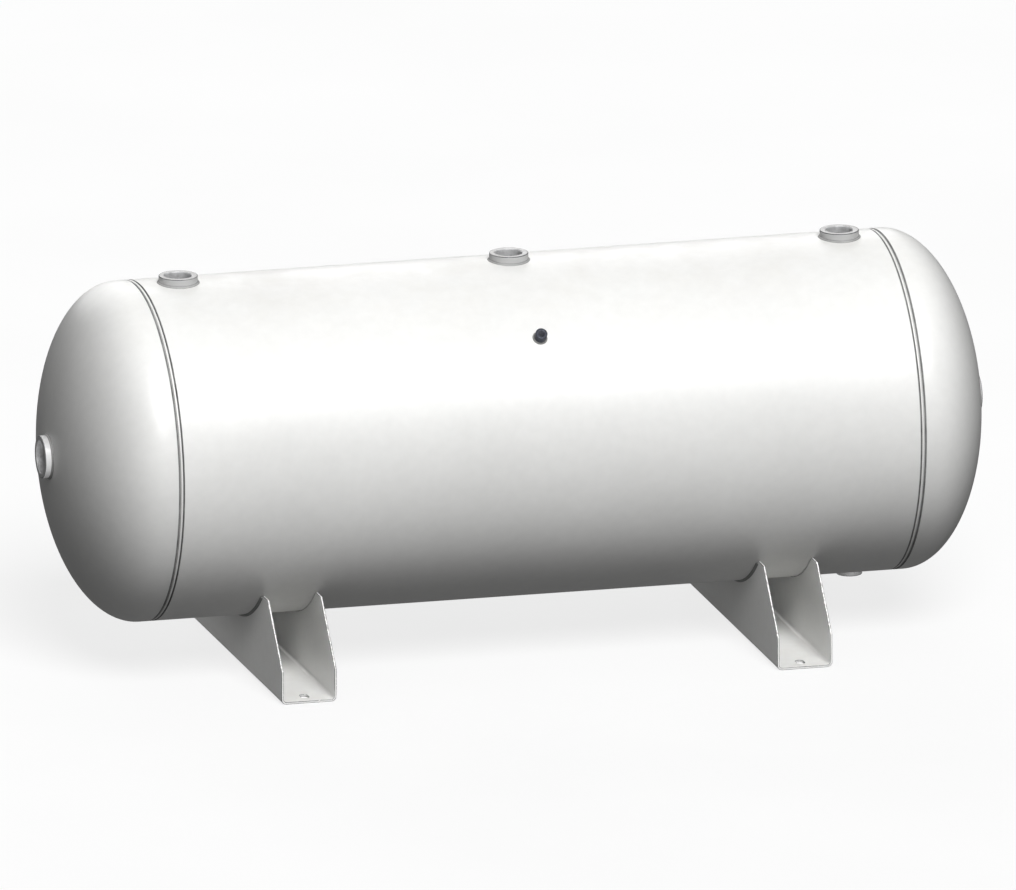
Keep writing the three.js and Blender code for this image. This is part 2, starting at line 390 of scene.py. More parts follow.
def finished(name, mesh, node):
    """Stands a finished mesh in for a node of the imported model."""
    if not mesh.materials:
        mesh.materials.append(enamel())
    piece = bpy.data.objects.new(name, mesh)
    mesh.name = name
    bpy.context.scene.collection.objects.link(piece)
    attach(piece, "root")
    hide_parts(node)


# ---- node helpers ----


class Wire:
    """A node's output that formulas can use: each operation adds one Math node to its tree."""

    def __init__(self, nodes, socket):
        self.nodes, self.socket = nodes, socket

    def math(self, operation, *others):
        return self.nodes.math(operation, self, *others)

    def __add__(self, other):
        return self.math("ADD", other)

    def __sub__(self, other):
        return self.math("SUBTRACT", other)

    def __rsub__(self, other):
        return self.nodes.math("SUBTRACT", other, self)

    def __mul__(self, other):
        return self.math("MULTIPLY", other)

    def __truediv__(self, other):
        return self.math("DIVIDE", other)

    def __pow__(self, other):
        return self.math("POWER", other)

    def __abs__(self):
        return self.math("ABSOLUTE")


class Nodes:
    """Adds nodes to one tree. Every input takes a plain value or a wire."""

    def __init__(self, tree):
        self.tree = tree

    def feed(self, socket, value):
        if isinstance(value, Wire):
            self.tree.links.new(value.socket, socket)
        else:
            socket.default_value = value

    def new(self, kind, inputs=None, **options):
        """A new node. Its options are set first, because they decide which inputs it has."""
        made = self.tree.nodes.new(kind)
        for key, value in options.items():
            setattr(made, key, value)
        for key, value in (inputs or {}).items():
            self.feed(made.inputs[key], value)
        return made

    def wires(self, made):
        """All the outputs of a node, by name."""
        return {socket.name: Wire(self, socket) for socket in made.outputs}

    def wire(self, kind, inputs=None, output=0, **options):
        """One output of a new node."""
        return Wire(self, self.new(kind, inputs, **options).outputs[output])

    def math(self, operation, *values):
        return self.wire("ShaderNodeMath", dict(enumerate(values)), operation=operation)

    def vector(self, operation, *values, output="Vector"):
        return self.wire("ShaderNodeVectorMath", dict(enumerate(values)), output,
                         operation=operation)

    def scaled(self, vector, scale):
        return self.wire("ShaderNodeVectorMath", {0: vector, "Scale": scale}, operation="SCALE")

    def split(self, vector):
        return list(self.wires(self.new("ShaderNodeSeparateXYZ", {0: vector})).values())

    def join(self, x=0.0, y=0.0, z=0.0):
        return self.wire("ShaderNodeCombineXYZ", {"X": x, "Y": y, "Z": z})

    def grey(self, tone):
        return self.wire("ShaderNodeCombineColor", {0: tone, 1: tone, 2: tone})

    def remap(self, value, low, high, to_low, to_high, smooth=False):
        return self.wire("ShaderNodeMapRange",
                         dict(enumerate((value, low, high, to_low, to_high))), clamp=True,
                         interpolation_type="SMOOTHSTEP" if smooth else "LINEAR")

    def noise(self, place, scale, detail=2.0, roughness=0.5):
        return self.wire("ShaderNodeTexNoise", {
            "Vector": place, "Scale": scale, "Detail": detail, "Roughness": roughness})

    def mix(self, factor, first, second, blend="MIX"):
        made = self.new("ShaderNodeMix", {"Factor": factor}, data_type="RGBA", blend_type=blend)
        for socket, value in ((made.inputs[6], first), (made.inputs[7], second)):
            self.feed(socket, value if isinstance(value, Wire) else (*value, 1))
        return Wire(self, made.outputs[2])

    def attribute(self, name, kind="FLOAT"):
        return self.wire("GeometryNodeInputNamedAttribute", {"Name": name}, data_type=kind)

    def position(self):
        return self.wire("GeometryNodeInputPosition")

    def moved(self, geometry, **where):
        return self.wire("GeometryNodeSetPosition", {"Geometry": geometry, **where})

    def curve(self, mesh):
        return self.wire("GeometryNodeMeshToCurve", {"Mesh": mesh})

    def swept(self, path, section, capped):
        return self.wire("GeometryNodeCurveToMesh", {
            "Curve": path, "Profile Curve": section, "Fill Caps": capped})


def new_tree(name, inputs):
    """A geometry tree with named inputs: {name: (socket kind, default)}."""
    tree = bpy.data.node_groups.new(name, "GeometryNodeTree")
    for way in ("INPUT", "OUTPUT"):
        tree.interface.new_socket("Geometry", in_out=way, socket_type="NodeSocketGeometry")
    for label, (kind, default) in inputs.items():
        socket = tree.interface.new_socket(label, in_out="INPUT", socket_type="NodeSocket" + kind)
        socket.default_value = default
    tree.interface.new_socket("Material", in_out="INPUT", socket_type="NodeSocketMaterial")
    nodes = Nodes(tree)
    return nodes, nodes.wires(nodes.new("NodeGroupInput"))


def end_tree(nodes, mesh, material):
    real = nodes.wire("GeometryNodeRealizeInstances", {"Geometry": mesh})
    coated = nodes.wire("GeometryNodeSetMaterial", {"Geometry": real, "Material": material})
    nodes.new("NodeGroupOutput", {"Geometry": coated})
    return nodes.tree


def grown(name, base, title, values):
    """Runs one of the trees over a mesh and keeps the result as a plain mesh."""
    holder = held(base)
    modifier = holder.modifiers.new("Tree", "NODES")
    modifier.node_group = bpy.data.node_groups.get(title) or TREES[title]()
    sockets = {item.name: item.identifier for item in modifier.node_group.interface.items_tree
               if item.in_out == "INPUT"}
    for label, value in values.items():
        modifier[sockets[label]] = value
    mesh = evaluated_copy(holder, name)
    for spare in ("across", "section", "lift"):
        if spare in mesh.attributes:
            mesh.attributes.remove(mesh.attributes[spare])
    return mesh


# How many spots each kind of noise has in one metre.
SPOTS = {"cloud": 2.6, "mottle": 55.0, "dust": 11.0, "streak": 38.0, "flake": 190.0, "rub": 17.0,
         "gloss": 7.0, "peel": 330.0, "wave": 9.0, "stain": 120.0, "floor": 1.5, "drift": 45.0,
         "swell": 160.0}

# ---- trees ----


def weld_bead_tree():
    """A rippled bead that follows a path. The base mesh holds the path, with the direction that
    the bead's section faces, and the section itself, with how far each point may lift."""
    nodes, given = new_tree("Weld bead", {
        "Ripple Pitch": ("Float", 0.003), "Ripple Height": ("Float", 0.0003),
        "Ripple Steps": ("Int", 5), "Chevron": ("Float", 0.35), "Wander": ("Float", 0.0002),
        "Closed": ("Bool", True), "Seed": ("Int", 1)})
    parts = nodes.wires(nodes.new("GeometryNodeSeparateGeometry", {
        "Geometry": given["Geometry"], "Selection": nodes.attribute("section", "BOOLEAN")},
        domain="POINT"))
    section = nodes.curve(parts["Selection"])
    # The path's own copies of the section's marks would hide the section's.
    bare = parts["Inverted"]
    for mark in ("lift", "crevice"):
        bare = nodes.wire("GeometryNodeRemoveAttribute", {"Geometry": bare, "Name": mark})
    path = nodes.curve(bare)
    run = nodes.wire("GeometryNodeCurveLength", {"Curve": path})
    ripples = (run / given["Ripple Pitch"]).math("ROUND")
    count = ripples * given["Ripple Steps"] + (1.0 - given["Closed"])
    even = nodes.wire("GeometryNodeResampleCurve", {"Curve": path, "Count": count}, mode="COUNT")
    place = nodes.vector("ADD", nodes.position(), nodes.join(given["Seed"]))
    # How many ripples the noise may shift them by, the roundness of a ripple, the noise that
    # leaves the bead's height alone, and the lift under which a point belongs to the root.
    sway, roundness, usual, root = 0.9, 0.7, 0.65, 0.02
    drift = nodes.noise(place, SPOTS["drift"], 1.0) * sway
    kept = nodes.new("GeometryNodeCaptureAttribute", {"Geometry": even})
    kept.capture_items.new("FLOAT", "Turn")
    turn = nodes.wire("GeometryNodeSplineParameter", output="Factor") * ripples + drift
    nodes.feed(kept.inputs["Turn"], turn)
    kept = nodes.wires(kept)
    faced = nodes.wire("GeometryNodeSetCurveNormal", {
        "Curve": kept["Geometry"], "Normal": nodes.attribute("across", "FLOAT_VECTOR")},
        mode="FREE")
    body = nodes.swept(faced, section, True)
    # Each ripple is an arch between two sharp notches, and lags behind at the bead's edges.
    lift = nodes.attribute("lift")
    lag = (1.0 - lift) * given["Chevron"]
    wave = ((kept["Turn"] - lag) * math.pi).math("SINE")
    ridge = abs(wave) ** roundness - 1.0
    swell = (nodes.noise(place, SPOTS["swell"]) - usual) * given["Wander"]
    rise = ridge * given["Ripple Height"] + swell
    offset = nodes.scaled(nodes.wire("GeometryNodeInputNormal"), rise * lift)
    shaded = nodes.wire("GeometryNodeSetShadeSmooth", {
        "Geometry": nodes.moved(body, Offset=offset),
        "Selection": lift.math("GREATER_THAN", root), "Shade Smooth": True})
    return end_tree(nodes, shaded, given["Material"])


def turn_about_z(nodes, outline, segments):
    """Turns a curve of (radius, height) points about Z, by way of a circle as small as a hub."""
    hub = 1 * MM
    x, y, _ = nodes.split(nodes.position())
    profile = nodes.moved(outline, Position=nodes.join(x - hub, y * -1.0))
    ring = nodes.wire("GeometryNodeCurvePrimitiveCircle",
                      {"Resolution": segments, "Radius": hub}, mode="RADIUS")
    upright = nodes.wire("GeometryNodeSetCurveNormal", {"Curve": ring}, mode="Z_UP")
    return nodes.swept(upright, profile, False)


def dished_head_tree():
    """A dished head: the tree draws the two ellipses, adds the edge of the port's hole, joins
    them to the collar that the base mesh brings, and turns the whole outline."""
    nodes, given = new_tree("Dished head", {
        "Radius": ("Float", 0.3), "Depth": ("Float", 0.15), "Wall": ("Float", 0.005),
        "Hole Radius": ("Float", 0.04), "Steps": ("Int", 40), "Segments": ("Int", 256)})
    hole, steps = given["Hole Radius"], given["Steps"]
    index = nodes.wire("GeometryNodeInputIndex")
    parts, ends = [given["Geometry"]], []
    for walls_in in (0.0, 1.0):
        less = given["Wall"] * walls_in
        across, up = given["Radius"] - less, given["Depth"] - less
        stop = (hole / across).math("ARCCOSINE")
        turn = stop * (index / (steps - 1.0))
        point = nodes.join(across * turn.math("COSINE"), up * turn.math("SINE"))
        line = nodes.wire("GeometryNodeMeshLine", {"Count": steps}, mode="OFFSET")
        parts.append(nodes.moved(line, Position=point))
        ends.append(nodes.join(hole, up * stop.math("SINE")))
    parts.append(nodes.wire("GeometryNodeMeshLine", {
        "Count": 2, "Start Location": ends[0], "Offset": ends[1]}, mode="END_POINTS"))
    joined = nodes.new("GeometryNodeJoinGeometry")
    for part in parts:
        nodes.feed(joined.inputs[0], part)
    welded = nodes.wire("GeometryNodeMergeByDistance", {
        "Geometry": Wire(nodes, joined.outputs[0]), "Distance": 0.02 * MM})
    body = turn_about_z(nodes, nodes.curve(welded), given["Segments"])
    return end_tree(nodes, body, given["Material"])


def thread_tree():
    """The ridge of a pipe thread, from the inner end of a bore up to its countersink. It sinks
    into the wall at both ends, where a real thread runs out."""
    nodes, given = new_tree("Pipe thread", {
        "Pitch": ("Float", 0.0022), "Crest Radius": ("Float", 0.022), "Depth": ("Float", 0.0018),
        "Length": ("Float", 0.03), "Countersink": ("Float", 0.0036), "Segments": ("Int", 56)})
    pitch, depth, run = given["Pitch"], given["Depth"], given["Length"]
    root = given["Crest Radius"] + depth
    helix = nodes.wire("GeometryNodeCurveSpiral", {
        "Resolution": given["Segments"], "Rotations": run / pitch, "Start Radius": root,
        "End Radius": root, "Height": run})
    position = nodes.position()
    height = nodes.split(position)[2]
    past_cone = (height - (run - given["Countersink"])).math("MAXIMUM", 0.0)
    before_start = (pitch - height).math("MAXIMUM", 0.0)
    flat = nodes.vector("MULTIPLY", position, (1.0, 1.0, 0.0))
    away = nodes.scaled(nodes.vector("NORMALIZE", flat), past_cone + before_start)
    path = nodes.moved(helix, Offset=away)
    upright = nodes.wire("GeometryNodeSetCurveNormal", {"Curve": path}, mode="Z_UP")
    sized = nodes.vector("MULTIPLY", position, nodes.join(depth, pitch))
    section = nodes.moved(nodes.curve(given["Geometry"]), Position=sized)
    return end_tree(nodes, nodes.swept(upright, section, True), given["Material"])


TREES = {"Weld bead": weld_bead_tree, "Dished head": dished_head_tree,
         "Pipe thread": thread_tree}

# ---- finishes ----


def new_material(name, rgb, roughness, metallic=0.0):
    material = bpy.data.materials.new(name)
    material.use_nodes = True
    material.diffuse_color = (*rgb, 1)
    nodes = Nodes(material.node_tree)
    shader = material.node_tree.nodes["Principled BSDF"]
    nodes.feed(shader.inputs["Base Color"], (*rgb, 1))
    nodes.feed(shader.inputs["Roughness"], roughness)
    nodes.feed(shader.inputs["Metallic"], metallic)
    return material, nodes, shader, nodes.wire("ShaderNodeTexCoord", output="Object")


def enamel(name="satin_enamel", paint=None):
    """Sprayed satin enamel: faint cloudiness, orange peel, dust on top, darkening in the crevices
    that the welds leave and along the girth seams, which is partly soiling and partly painted
    shade, and primer showing at rubbed edges."""
    if name in bpy.data.materials:
        return bpy.data.materials[name]
    finish = settings().finish
    paint = paint or finish.paint
    material, nodes, shader, place = new_material(name, paint, 0.4)
    nodes.feed(shader.inputs["Specular IOR Level"], 0.42)

    cloud = nodes.remap(nodes.noise(place, SPOTS["cloud"], 4.0, 0.55), 0.3, 0.7, 0.955, 1.01)
    mottle = nodes.remap(nodes.noise(place, SPOTS["mottle"], 3.0), 0.3, 0.7, -0.012, 0.012)
    coat = nodes.mix(1.0, paint, nodes.grey(cloud + mottle), "MULTIPLY")

    facing = nodes.wire("ShaderNodeNewGeometry", output="Normal")
    settle = nodes.remap(nodes.split(facing)[2], 0.55, 1.0, 0.0, 1.0, smooth=True)
    patches = nodes.noise(place, SPOTS["dust"], 5.0, 0.6)
    dusty = settle * nodes.remap(patches, 0.42, 0.72, 0.02, 0.22)
    coat = nodes.mix(dusty, coat, finish.dust)

    # Painted shade with soiling: the crevice marks and the girth seam toes pull the enamel towards
    # near black.
    crevice = nodes.wire("ShaderNodeAttribute", output="Fac", attribute_name="crevice")
    crevice = crevice.math("MAXIMUM", seam_toes(nodes, place))
    streak = nodes.remap(nodes.noise(place, SPOTS["streak"], 4.0, 0.6), 0.25, 0.75, 0.72, 1.0)
    dirt_and_shade = crevice * streak * 0.88
    coat = nodes.mix(dirt_and_shade, coat, finish.grime_and_shade)

    edge = nodes.wire("ShaderNodeAttribute", output="Fac", attribute_name="edge")
    flakes = nodes.noise(place, SPOTS["flake"], 3.0, 0.7) + edge * 0.16
    chips = nodes.remap(flakes, 0.60, 0.66, 0.0, 1.0)
    rubbed = nodes.remap(nodes.noise(place, SPOTS["rub"]), 0.30, 0.50, 0.45, 0.95)
    worn = edge.math("MINIMUM", 1.0) * (chips * rubbed)
    nodes.feed(shader.inputs["Base Color"], nodes.mix(worn, coat, finish.primer))

    gloss = nodes.remap(nodes.noise(place, SPOTS["gloss"], 3.0), 0.3, 0.7, 0.34, 0.43)
    nodes.feed(shader.inputs["Roughness"], gloss + dusty * 0.9 + dirt_and_shade * 0.35)

    peel = nodes.wire("ShaderNodeBump", {
        "Strength": 0.32, "Distance": 0.12 * MM, "Height": nodes.noise(place, SPOTS["peel"])})
    waves = nodes.wire("ShaderNodeBump", {
        "Strength": 0.35, "Distance": 1.2 * MM, "Height": nodes.noise(place, SPOTS["wave"], 1.0),
        "Normal": peel})
    nodes.feed(shader.inputs["Normal"], waves)
    return material


def seam_toes(nodes, place):
    """Soiling and painted shade along both toes of each girth seam, found from the distance along
    the tank.
    """
    tank = settings()
    half = tank.head.groove / 2
    solid, gone = 0.8 * MM, 2.3 * MM
    beside = abs(abs(nodes.split(place)[0]) - (tank.shell.half + half))
    return nodes.remap(abs(beside - half), solid, gone, 1.0, 0.0, smooth=True)


def turned_steel(name, rgb, roughness, metallic, stand):
    """Bare steel with the fine rings that a lathe leaves about the piece's own axis."""
    material, nodes, shader, place = new_material(name, rgb, roughness, metallic)
    spacing = 0.5 * MM
    inverse = stand.inverted()
    local = nodes.wire("ShaderNodeMapping", {
        "Vector": place, "Location": inverse.to_translation(), "Rotation": inverse.to_euler()})
    flat = nodes.vector("MULTIPLY", local, (1.0, 1.0, 0.0))
    radius = nodes.vector("LENGTH", flat, output="Value")
    rings = nodes.noise(nodes.join(radius, nodes.split(local)[2]), 1 / spacing, 3.0, 0.65)
    stain = nodes.remap(nodes.noise(place, SPOTS["stain"], 4.0), 0.35, 0.7, 1.06, 0.8)
    tone = nodes.remap(rings, 0.3, 0.7, 0.78, 1.18) * stain
    shade = nodes.mix(1.0, rgb, nodes.grey(tone), "MULTIPLY")
    nodes.feed(shader.inputs["Base Color"], shade)
    gloss = nodes.remap(rings, 0.3, 0.7, roughness - 0.07, roughness + 0.12)
    nodes.feed(shader.inputs["Roughness"], gloss)
    cut = nodes.wire("ShaderNodeBump", {
        "Strength": 0.35, "Distance": 0.06 * MM, "Height": rings})
    nodes.feed(shader.inputs["Normal"], cut)
    return material


# ---- welds ----


def lay_bead(name, node, path, across, out, section, closed, seed, stand=Matrix()):
    """A weld bead. The path is a list of points, across the direction that each section's X
    faces, out the way that the first section's Y faces, and the section a list of
    (x, y, lift, crevice), where crevice is how far the enamel darkens there with painted shade and
    soiling."""
    if (path[1] - path[0]).cross(across[0]).dot(out) < 0:
        path, across = path[::-1], across[::-1]
    bead = settings().bead
    count, size = len(path), len(section)
    points = [*path, *((x, y, 0) for x, y, _, _ in section)]
    edges = [(i, i + 1) for i in range(count - 1)] + [(count - 1, 0)] * closed
    edges += [(count + i, count + (i + 1) % size) for i in range(size)]
    base = mesh_of(name, points, edges=edges)
    marks = {"section": ("BOOLEAN", [False] * count + [True] * size),
             "lift": ("FLOAT", [0.0] * count + [point[2] for point in section]),
             "crevice": ("FLOAT", [0.0] * count + [point[3] for point in section])}
    for label, (kind, values) in marks.items():
        base.attributes.new(label, kind, "POINT").data.foreach_set("value", values)
    facing = base.attributes.new("across", "FLOAT_VECTOR", "POINT")
    for index, direction in enumerate([*across, *([Vector((1, 0, 0))] * size)]):
        facing.data[index].vector = direction
    mesh = grown(name, base, "Weld bead", {
        "Ripple Pitch": bead.pitch, "Ripple Height": bead.height, "Ripple Steps": bead.steps,
        "Closed": closed, "Seed": bead.seed + seed, "Material": enamel()})
    finished(name, placed(outward(mesh), stand), node)


def fillet_section(leg, sunk=0.4 * MM, steps=8):
    """A fillet's section: X away along the plate, Y up the wall, both roots a little sunk."""
    bulge = leg * 0.60
    points = []
    for step in range(steps + 1):
        t = step / steps
        x = leg * (1 - t) ** 2 + 2 * bulge * t * (1 - t)
        y = leg * t ** 2 + 2 * bulge * t * (1 - t)
        edge = abs(2 * t - 1)
        lift = 1 - edge ** 3 if 0 < step < steps else 0.0
        # The fourth value is painted shade and soiling on the enamel: some over the whole fillet,
        # most at its toes.
        points.append((x, y, lift, 0.65 + 0.35 * edge ** 2))
    root = [(-sunk, leg - sunk / 2), (-sunk, -sunk), (leg - sunk / 2, -sunk)]
    return [*points, *((x, y, 0.0, 1.0) for x, y in root)]


def crown_section(width, rise, root, steps=10):
    """A flat bead's section: an elliptical crown on a root that lies under it."""
    points = []
    for step in range(steps + 1):
        turn = math.pi * step / steps
        lift = math.sin(turn) ** 0.6 if 0 < step < steps else 0.0
        # The fourth value darkens the crown towards its toes: painted shade and soiling.
        points.append((width / 2 * math.cos(turn), rise * math.sin(turn), lift,
                       math.cos(turn) ** 4))
    return [*points, *((x, y, 0.0, 1.0) for x, y in root)]


def circle_path(radius, height, steps):
    turns = [2 * math.pi * step / steps for step in range(steps)]
    return [Vector((radius * math.cos(a), radius * math.sin(a), height)) for a in turns]


# ---- operators ----


class TankShellPlate(bpy.types.Operator):
    """Rolls the shell's plate, with the holes of its ports and the slit of its long seam"""
    bl_idname = "tank.shell_plate"
    bl_label = "Shell plate"

    def execute(self, context):
        shell = settings().shell
        inside = shell.radius - shell.wall
        ring = eased([(inside, -shell.half), (shell.radius, -shell.half),
                      (shell.radius, shell.half), (inside, shell.half)],
                     {1: shell.end_bevel, 2: shell.end_bevel}, 3)
        plate = placed(turned("shell_plate", ring, shell.segments), toward_end(1))
        cuts = []
        for name, port, stand in port_places():
            rim = port.outer / 2 + shell.clearance
            hole = arc((0, 0), rim, rim, 0, 360, 64)[:-1]
            cuts.append(("DIFFERENCE", prism(name, hole, shell.radius / 2,
                                             shell.radius + port.stand, stand)))
        # The slit's cutter runs past the plate on every side.
        spare, past_ends = 20 * MM, 1.1 * shell.half
        strip = box_outline(inside - spare, shell.radius + spare, shell.seam_slit / 2)
        turn = Matrix.Rotation(shell.seam_angle - math.pi / 2, 4, "X")
        upright = Matrix(((0, 0, 1, 0), (0, 1, 0, 0), (1, 0, 0, 0), (0, 0, 0, 1)))
        cuts.append(("DIFFERENCE", prism("slit", strip, -past_ends, past_ends,
                                         on_axis() @ turn @ upright)))
        mesh = carved(plate, cuts)
        round_normals(mesh, shell)
        finished("shell_plate", mesh, "shell")
        return {"FINISHED"}


def box_outline(low, high, half):
    return [(low, -half), (high, -half), (high, half), (low, half)]


def round_normals(mesh, shell):
    """Gives the outside and the inside of the shell the normals of true cylinders."""
    close = shell.wall / 40
    mesh.shade_smooth()
    normals = [Vector((0, 0, 0))] * len(mesh.loops)
    for face in mesh.polygons:
        spokes = [Vector((0, mesh.vertices[v].co.y, mesh.vertices[v].co.z - shell.height))
                  for v in face.vertices]
        outer = all(abs(s.length - shell.radius) < close for s in spokes)
        inner = all(abs(s.length - shell.radius + shell.wall) < close for s in spokes)
        for loop, spoke in zip(face.loop_indices, spokes):
            if outer or inner:
                normals[loop] = spoke.normalized() * (1 if outer else -1)
            else:
                normals[loop] = face.normal.copy()
    mesh.normals_split_custom_set(normals)


class TankLongSeam(bpy.types.Operator):
    """Lays the straight weld that closes the rolled plate"""
    bl_idname = "tank.long_seam"
    bl_label = "Long seam"

    def execute(self, context):
        shell = settings().shell
        half = shell.half - shell.clearance
        turn = shell.seam_angle
        out = Vector((0, math.cos(turn), math.sin(turn)))
        across = out.cross(Vector((1, 0, 0))).normalized()
        start = Vector((0, 0, shell.height)) + out * (shell.radius - shell.clearance / 2)
        steps = 40
        path = [start + Vector((half * (2 * s / steps - 1), 0, 0)) for s in range(steps + 1)]
        neck, deep = shell.seam_slit / 2, shell.wall - shell.clearance
        root = [(-neck, 0.0), (-neck, -deep), (neck, -deep), (neck, 0.0)]
        section = crown_section(shell.seam_cap, shell.seam_rise + shell.clearance / 2, root)
        lay_bead("long_seam_bead", "long_seam_weld", path, [across] * len(path), out, section,
                 False, 1)
        return {"FINISHED"}


class TankHeads(bpy.types.Operator):
    """Presses the two dished heads, with their joggled skirts"""
    bl_idname = "tank.heads"
    bl_label = "Dished heads"

    def execute(self, context):
        tank = settings()
        shell, head = tank.shell, tank.head
        skirt = shell.radius - shell.wall - head.fit
        inner = shell.radius - head.wall
        flange, groove = head.flange, head.groove
        foot = groove - head.root
        skirt_end = -(flange + groove + head.lap)
        corners = [(shell.radius, 0), (shell.radius, -flange), (skirt, -flange - foot),
                   (skirt, skirt_end), (skirt - head.wall, skirt_end),
                   (skirt - head.wall, -flange - foot + head.wall),
                   (inner, -flange + head.wall), (inner, 0)]
        radii = {1: 1.6 * MM, 2: 2.5 * MM, 3: 0.6 * MM, 4: 0.6 * MM, 5: 4 * MM, 6: 3 * MM}
        points = [(r, z, 0) for r, z in eased(corners, radii)]
        edges = [(i, i + 1) for i in range(len(points) - 1)]
        rise = Matrix.Translation((0, 0, shell.half + groove + flange))
        for name, side in SIDES.items():
            base = mesh_of(name + "_collar", points, edges=edges)
            mesh = grown(name + "_dish", base, "Dished head", {
                "Radius": shell.radius, "Depth": head.depth, "Wall": head.wall,
                "Hole Radius": tank.end.outer / 2 + shell.clearance, "Steps": head.steps,
                "Segments": shell.segments, "Material": enamel()})
            placed(mesh, toward_end(side) @ rise)
            smooth_by_angle(outward(mesh), 35)
            finished(name + "_dish", mesh, name + "_head")
        return {"FINISHED"}


class TankGirthSeams(bpy.types.Operator):
    """Lays the two welds that join the heads to the shell"""
    bl_idname = "tank.girth_seams"
    bl_label = "Girth seams"

    def execute(self, context):
        tank = settings()
        shell, head = tank.shell, tank.head
        skirt = shell.radius - shell.wall - head.fit
        toe = shell.radius - head.toe
        share = (toe - skirt) / (shell.radius - skirt)
        # The bead keeps off the shell's end and the skirt, and sinks into the head's bevel.
        off_end, off_skirt, sunk = 0.1 * MM, 0.2 * MM, 0.1 * MM
        near, far = off_end, head.root + share * (head.groove - head.root) + sunk
        middle, width = (near + far) / 2, far - near
        deep = skirt + off_skirt - toe
        root = [(-width / 2, deep), (head.root - middle, deep)]
        section = crown_section(width, head.toe, root, 12)
        path = circle_path(toe, shell.half + middle, 720)
        across = [Vector((0, 0, 1))] * len(path)
        for index, (name, side) in enumerate(SIDES.items()):
            lay_bead(name + "_girth_bead", name + "_seam_weld", path, across, path[0], section,
                     True, 2 + index, toward_end(side))
        return {"FINISHED"}


class TankPorts(bpy.types.Operator):
    """Turns the threaded rings and cuts their threads"""
    bl_idname = "tank.ports"
    bl_label = "Threaded ports"

    def execute(self, context):
        tank = settings()
        finish = tank.finish
        for node, port, stand in [*port_places(), *end_port_places()]:
            base = head_apex() if node.startswith("end") else tank.shell.radius
            if node == "gauge_port":
                skin = turned_steel("turned_steel", finish.steel, 0.40, 0.55, stand)
                # The bore gets a lighter copy of the turned steel, as painted light in the shaded
                # bore.
                bare = turned_steel("gauge_thread_steel", finish.bore, 0.35, 0.3, stand)
                segments, slot = 64, "bare_steel"
            else:
                skin = enamel("ring_enamel", finish.ring)
                bare = turned_steel("thread_steel_" + node, finish.thread, 0.42, 0.25, stand)
                segments, slot = 96, "tank_paint"
            ring = threaded_ring(node + "_ring", port, base + port.stand, skin, bare, segments)
            finished(node + "_ring", placed(ring, stand), node)
        return {"FINISHED"}


def threaded_ring(name, port, face, skin, bare, segments):
    """One ring about Z, with its face at the given height and its thread inside."""
    pitch = 25.4 * MM / port.threads
    crest, mouth, outer = port.bore / 2, port.mouth / 2, port.outer / 2
    depth = min(0.8 * pitch, (mouth - crest) * 0.9)
    root = crest + depth
    low = face - port.depth
    ease = 1.2 * MM
    corners = [(root, low), (outer, low), (outer, face), (mouth, face),
               (root, face - mouth + root)]
    outline = eased(corners, {0: 0.3 * MM, 1: ease, 2: ease, 3: 0.25 * MM}, 4)
    ring = turned(name, outline, segments)
    for material in (skin, bare):
        ring.materials.append(material)
    for polygon in ring.polygons:
        middle = polygon.center
        inside = middle.xy.length < mouth and middle.z < face - 0.01 * MM
        polygon.material_index = 1 if inside else 0
    mark_edges(ring, [(0, ease / 2, 2.0)])
    smooth_by_angle(ring, 32)

    # The ridge's section, in thread depths across and pitches along.
    section = [(0.25, -0.47), (-1.0, -0.055), (-1.0, 0.055), (0.25, 0.47)]
    base = mesh_of(name, [(x, y, 0) for x, y in section], edges=[(0, 1), (1, 2), (2, 3), (3, 0)])
    start, stop = low + 0.5 * pitch, face - 0.5 * pitch
    thread = grown(name + "_thread", base, "Pipe thread", {
        "Pitch": pitch, "Crest Radius": crest, "Depth": depth,
        "Length": stop - start, "Countersink": mouth - crest - face + stop,
        "Segments": 48, "Material": bare})
    placed(thread, Matrix.Translation((0, 0, start)))
    smooth_by_angle(outward(thread), 25)
    for polygon in thread.polygons:
        polygon.material_index = 1
    reworked(ring, thread)
    bpy.data.meshes.remove(thread)
    return ring


def mark_edges(mesh, wear):
    """Marks narrow faces, so that the finish can wear there: (over, under, wear) by width."""
    layer = mesh.attributes.new("edge", "FLOAT", "FACE")
    for polygon in mesh.polygons:
        corners = [mesh.vertices[index].co for index in polygon.vertices]
        longest = max((corner - corners[index - 1]).length for index, corner in enumerate(corners))
        across = polygon.area / longest
        layer.data[polygon.index].value = sum(
            amount for over, under, amount in wear if over < across < under)


class TankPortWelds(bpy.types.Operator):
    """Lays a fillet around each port, draped on the plate that it stands on"""
    bl_idname = "tank.port_welds"
    bl_label = "Port welds"

    def execute(self, context):
        tank = settings()
        head, bead, radius = tank.head, tank.bead, tank.shell.radius
        dish = head_apex() - head.depth

        def on_shell(x, y):
            height = math.sqrt(radius ** 2 - y ** 2)
            return height, Vector((0, y, height))

        def on_head(x, y):
            height = head.depth * math.sqrt(1 - (x * x + y * y) / radius ** 2)
            slope = height / head.depth ** 2
            return dish + height, Vector((x / radius ** 2, y / radius ** 2, slope))

        jobs = [(port, on_shell) for port in port_places()]
        jobs += [(port, on_head) for port in end_port_places()]
        for index, ((node, port, stand), surface) in enumerate(jobs):
            path, across = [], []
            for spoke in circle_path(port.outer / 2, 0, 240):
                height, normal = surface(spoke.x, spoke.y)
                normal.normalize()
                path.append(Vector((spoke.x, spoke.y, height)))
                way = spoke.normalized()
                across.append((way - normal * way.dot(normal)).normalized())
            leg = bead.gauge_leg if node == "gauge_port" else bead.port_leg
            lay_bead(node + "_bead", node + "_weld", path, across, Vector((0, 0, 1)),
                     fillet_section(leg), True, 10 + index, stand)
        return {"FINISHED"}


